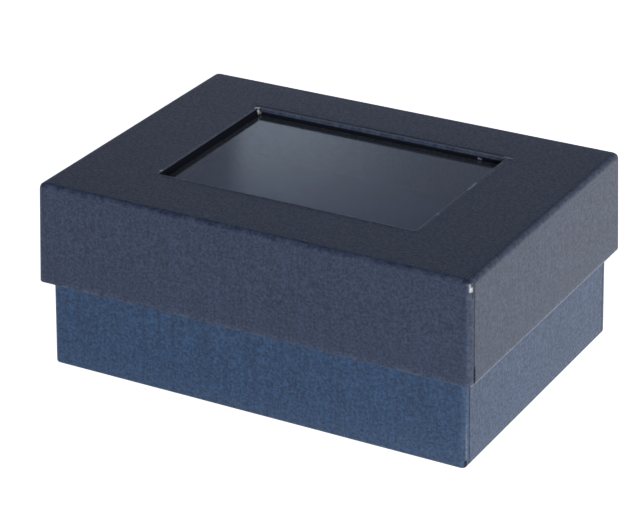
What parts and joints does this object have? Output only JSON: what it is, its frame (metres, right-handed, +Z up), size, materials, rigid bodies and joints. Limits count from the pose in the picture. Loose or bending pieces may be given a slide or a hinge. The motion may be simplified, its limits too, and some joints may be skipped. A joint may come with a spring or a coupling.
{
  "type": "cufflink display box",
  "caption": "Small rigid gift box with a telescoping lid, a clear film window in its top, and a slotted velvet pad inside for a pair of cufflinks.",
  "frame": {"origin": "middle of the footprint, on the surface the box stands on", "axes": "+X along the length, to the right seen from the front; -Y to the front; +Z up, the way the lid lifts"},
  "size_m": [0.0872, 0.0632, 0.0365],
  "materials": {
    "lid_paper": "matte",
    "base_paper": "matte",
    "greyboard": "matte",
    "lining_paper": "matte",
    "stay_paper": "matte",
    "black_card": "matte",
    "clear_film": "gloss",
    "film_tape": "satin",
    "foam": "matte",
    "velvet": "matte"
  },
  "bodies": {
    "base": {"base_board": "greyboard", "base_wrap": "base_paper", "base_bottom_sheet": "base_paper", "base_lining": "lining_paper", "base_corner_stay_front_left": "stay_paper", "base_corner_stay_front_right": "stay_paper", "base_corner_stay_back_left": "stay_paper", "base_corner_stay_back_right": "stay_paper"},
    "lid": {"lid_board": "greyboard", "lid_wrap": "lid_paper", "window_film": "clear_film", "lid_lining": "black_card", "lid_corner_stay_front_left": "stay_paper", "lid_corner_stay_front_right": "stay_paper", "lid_corner_stay_back_left": "stay_paper", "lid_corner_stay_back_right": "stay_paper", "film_tape_front": "film_tape", "film_tape_back": "film_tape", "film_tape_left": "film_tape", "film_tape_right": "film_tape"},
    "insert": {"insert_riser": "black_card", "insert_foam": "foam", "insert_velvet": "velvet"}
  },
  "joints": [
    {"name": "lid_lift", "type": "slide", "parent": "base", "child": "lid", "axis": [0, 0, 1], "range_m": [0, 0.045]},
    {"name": "insert_lift", "type": "slide", "parent": "base", "child": "insert", "axis": [0, 0, 1], "range_m": [0, 0.011]}
  ]
}
